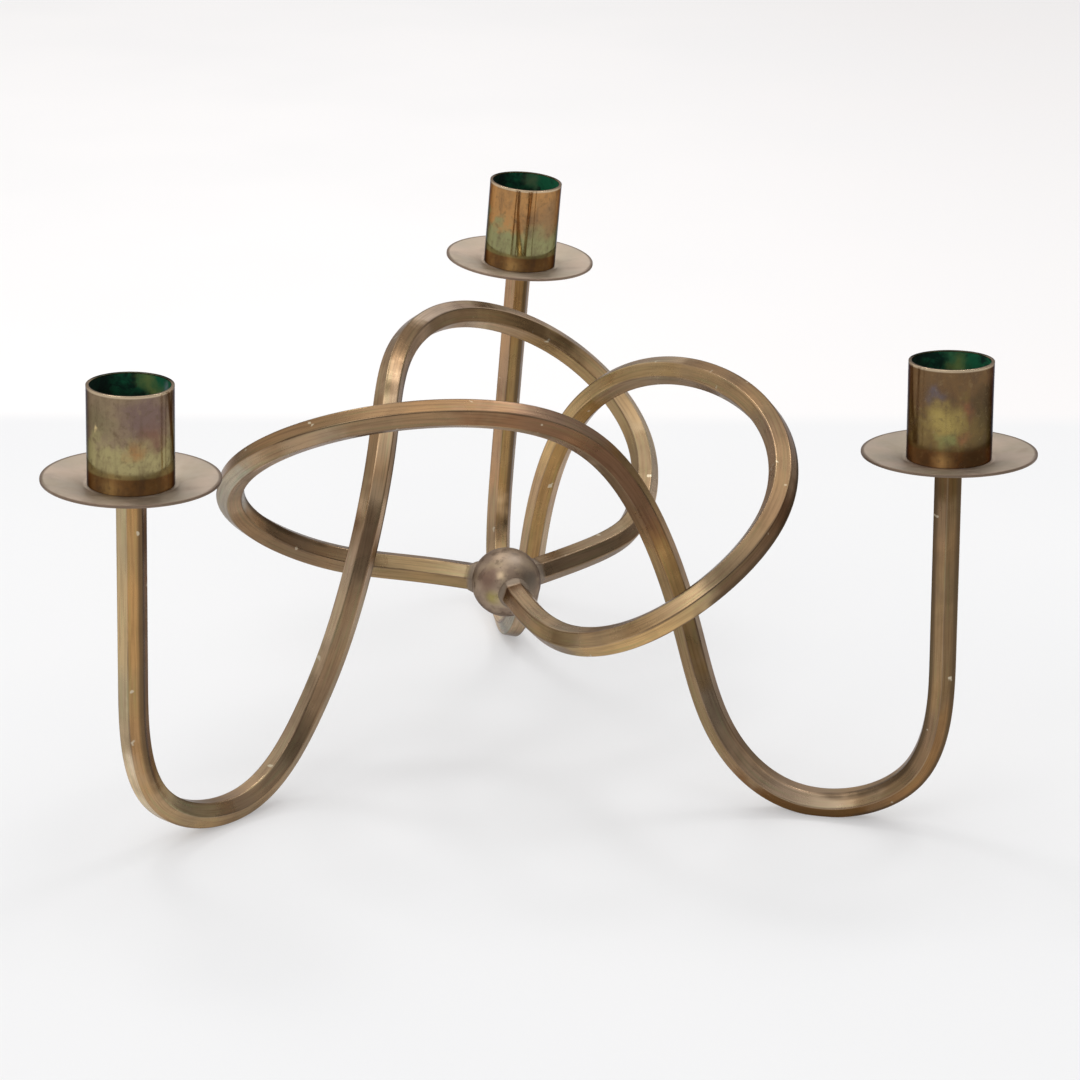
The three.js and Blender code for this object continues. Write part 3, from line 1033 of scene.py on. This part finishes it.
# Colours of a cup's upper and lower part, how far right the painted highlight low on it sits, its
# least roughness, and its spots
CUP_LOOKS = {
    "back": ((0.43, 0.225, 0.085), (0.265, 0.255, 0.12), -2.2, 0.07, [
        ((2, -12, 20), 2.5, 2.5, (0.12, 0.075, 0.045)),
        ((9, -9, 20), 6, 4, (0.27, 0.16, 0.08)),
    ]),
    "right": ((0.17, 0.1, 0.048), (0.18, 0.12, 0.048), -3.5, 0.15, [
        ((-3.5, -12, 15.5), 4.2, 4, (0.41, 0.31, 0.1)),
        ((-6.3, -10.8, 23), 1.8, 2.4, BLUE),
        ((-3, -12, 9.5), 2.3, 2.3, (0.25, 0.26, 0.1)),
        ((3.7, -12, 19), 2.2, 2.5, (0.25, 0.1, 0.055)),
        ((2.5, -12.2, 10), 2, 2, (0.27, 0.12, 0.06)),
        ((9.5, -8.5, 20), 5, 3.5, (0.07, 0.05, 0.028)),
        ((10.5, -7, 12), 5, 3.5, (0.08, 0.06, 0.03)),
        ((7, -10.5, 3.5), 4.5, 3, BAND_SHADE),
        ((-9, -9, 3.5), 3, 3, BAND_SHADE),
    ]),
    "left": ((0.26, 0.19, 0.12), (0.35, 0.295, 0.14), -5.3, 0.1, [
        ((6, -11, 24), 7, 4, PURPLE),
        ((8, -10, 18), 3.5, 3, (0.19, 0.1, 0.07)),
        ((2.5, -12, 15), 2, 2, ORANGE),
        ((-8.5, -9.5, 22.5), 4, 4, (0.19, 0.155, 0.085)),
        # a painted highlight
        ((-8.9, -9, 19.5), 0.9, 0.8, (0.8, 0.62, 0.3)),
    ]),
}
OLIVE = (0.19, 0.26, 0.08)
# Spots inside a cup: centre, radius and colour
INSIDE_SPOTS = {
    "back": [
        ((2, 11, 28), 2, (0.1, 0.16, 0.08)),
    ],
    "right": [
        ((3, 11, 27), 2.5, OLIVE),
        ((1, 11, 30), 2, (0.05, 0.2, 0.09)),
    ],
    "left": [
        ((3, 11, 29), 2.2, OLIVE),
        ((5.5, 10, 26), 2.2, OLIVE),
        ((9, 7, 27.5), 1.6, (0.16, 0.24, 0.24)),
    ],
}

for side in ARMS:
    build_arm(side, bar_look(side, BAR_LOOKS[side]))
    build_pan(side, pan_look(side, PAN_LIGHT[side]))
    outside = cup_look(side, *CUP_LOOKS[side])
    build_cup(side, outside, cup_inside_look(side, INSIDE_SPOTS[side]))
build_ball(ball_look())
screw = screw_look()
for side in ARMS:
    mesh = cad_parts[f"cup_screw_{side}"].data
    mesh.materials.clear()
    mesh.materials.append(screw)


# Floor, light and camera

# In metres
FLOOR_SIZE = 12.0
FLOOR_CELLS = 8
# Brightness of the room by direction, from below (0) to overhead (1), and where overhead is
SKY = [
    (0.36, (0.2, 0.2, 0.205)),
    (0.5, (0.28, 0.28, 0.285)),
    (0.63, (0.5, 0.495, 0.49)),
    (0.85, (0.95, 0.94, 0.92)),
]
SKY_TOP = (-0.25, 0.2, 0.947)
# Name, place and size in metres, power in watts and colour of each light
LIGHTS = [
    ("overhead", (0.05, 0.1, 1.5), 1.1, 3.2, (1, 0.985, 0.96)),
    ("back left", (-0.5, 0.55, 1.3), 0.3, 2.2, (1, 1, 1)),
    ("back right", (0.55, 0.5, 1.3), 0.3, 1.8, (1, 1, 1)),
    ("front", (-0.6, -0.9, 1.1), 0.7, 2.2, (1, 1, 1)),
]
LIGHT_AIM = (0, 0, 0.05)
# The camera, in millimetres and degrees
FOCAL_PIXELS = 2951.1
FRAME_PIXELS = 1080
SENSOR = 36.0
DISTANCE = 941.2
ELEVATION = 20.653
AZIMUTH = -0.402
ROLL = 0.413
# The point that the camera faces, from the ring's axis
AIM = (5.94, 0.0, 71.92)
# In metres
CLIP_START = 0.01


def build_floor():
    work = bmesh.new()
    bmesh.ops.create_grid(work, x_segments=FLOOR_CELLS, y_segments=FLOOR_CELLS,
                          size=FLOOR_SIZE / 2)
    mesh = bpy.data.meshes.new("floor")
    work.to_mesh(mesh)
    work.free()
    mesh.materials.append(floor_look())
    obj = bpy.data.objects.new("floor", mesh)
    bpy.context.scene.collection.objects.link(obj)


def build_world():
    world = bpy.data.worlds.new("studio")
    bpy.context.scene.world = world
    world.use_nodes = True
    tree = world.node_tree
    tree.nodes.clear()
    coordinates = tree.nodes.new("ShaderNodeTexCoord")
    dot = tree.nodes.new("ShaderNodeVectorMath")
    dot.operation = "DOT_PRODUCT"
    dot.inputs[1].default_value = SKY_TOP
    tree.links.new(coordinates.outputs["Generated"], dot.inputs[0])
    ramp = tree.nodes.new("ShaderNodeValToRGB")
    elements = ramp.color_ramp.elements
    while len(elements) < len(SKY):
        elements.new(0.5)
    for element, (position, tint) in zip(elements, SKY):
        element.position = position
        element.color = (*tint, 1)
    half = tree.nodes.new("ShaderNodeMath")
    half.operation = "MULTIPLY_ADD"
    half.inputs[1].default_value = 0.5
    half.inputs[2].default_value = 0.5
    tree.links.new(dot.outputs["Value"], half.inputs[0])
    tree.links.new(half.outputs[0], ramp.inputs["Fac"])
    background = tree.nodes.new("ShaderNodeBackground")
    tree.links.new(ramp.outputs["Color"], background.inputs["Color"])
    output = tree.nodes.new("ShaderNodeOutputWorld")
    tree.links.new(background.outputs[0], output.inputs["Surface"])


def area_light(name, place, size, power, tint):
    data = bpy.data.lights.new(name, "AREA")
    data.shape = "RECTANGLE"
    data.size = data.size_y = size
    data.energy = power
    data.color = tint
    obj = bpy.data.objects.new(name, data)
    bpy.context.scene.collection.objects.link(obj)
    obj.location = place
    direction = Vector(LIGHT_AIM) - Vector(place)
    obj.rotation_euler = direction.to_track_quat("-Z", "Y").to_euler()


def build_camera():
    elevation = math.radians(ELEVATION)
    azimuth = math.radians(AZIMUTH)
    away = Vector((math.sin(azimuth) * math.cos(elevation),
                   -math.cos(azimuth) * math.cos(elevation),
                   math.sin(elevation)))
    centre = hub_centre()
    aim = Vector((centre[0] - HUB_OFFSET + AIM[0], centre[1] + AIM[1], AIM[2]))
    place = aim + away * DISTANCE
    level = (-away).cross(Vector((0, 0, 1))).normalized()
    upright = level.cross(-away)
    roll = math.radians(ROLL)
    right = level * math.cos(roll) + upright * math.sin(roll)
    up = upright * math.cos(roll) - level * math.sin(roll)
    data = bpy.data.cameras.new("camera")
    data.sensor_width = SENSOR
    data.lens = FOCAL_PIXELS / FRAME_PIXELS * SENSOR
    data.clip_start = CLIP_START
    camera = bpy.data.objects.new("camera", data)
    bpy.context.scene.collection.objects.link(camera)
    matrix = Matrix((right, up, away)).transposed().to_4x4()
    matrix.translation = place * MM
    camera.matrix_world = matrix
    bpy.context.scene.camera = camera


build_floor()
build_world()
for light in LIGHTS:
    area_light(*light)
build_camera()
bpy.context.scene.view_settings.view_transform = "Standard"

bpy.context.view_layer.update()
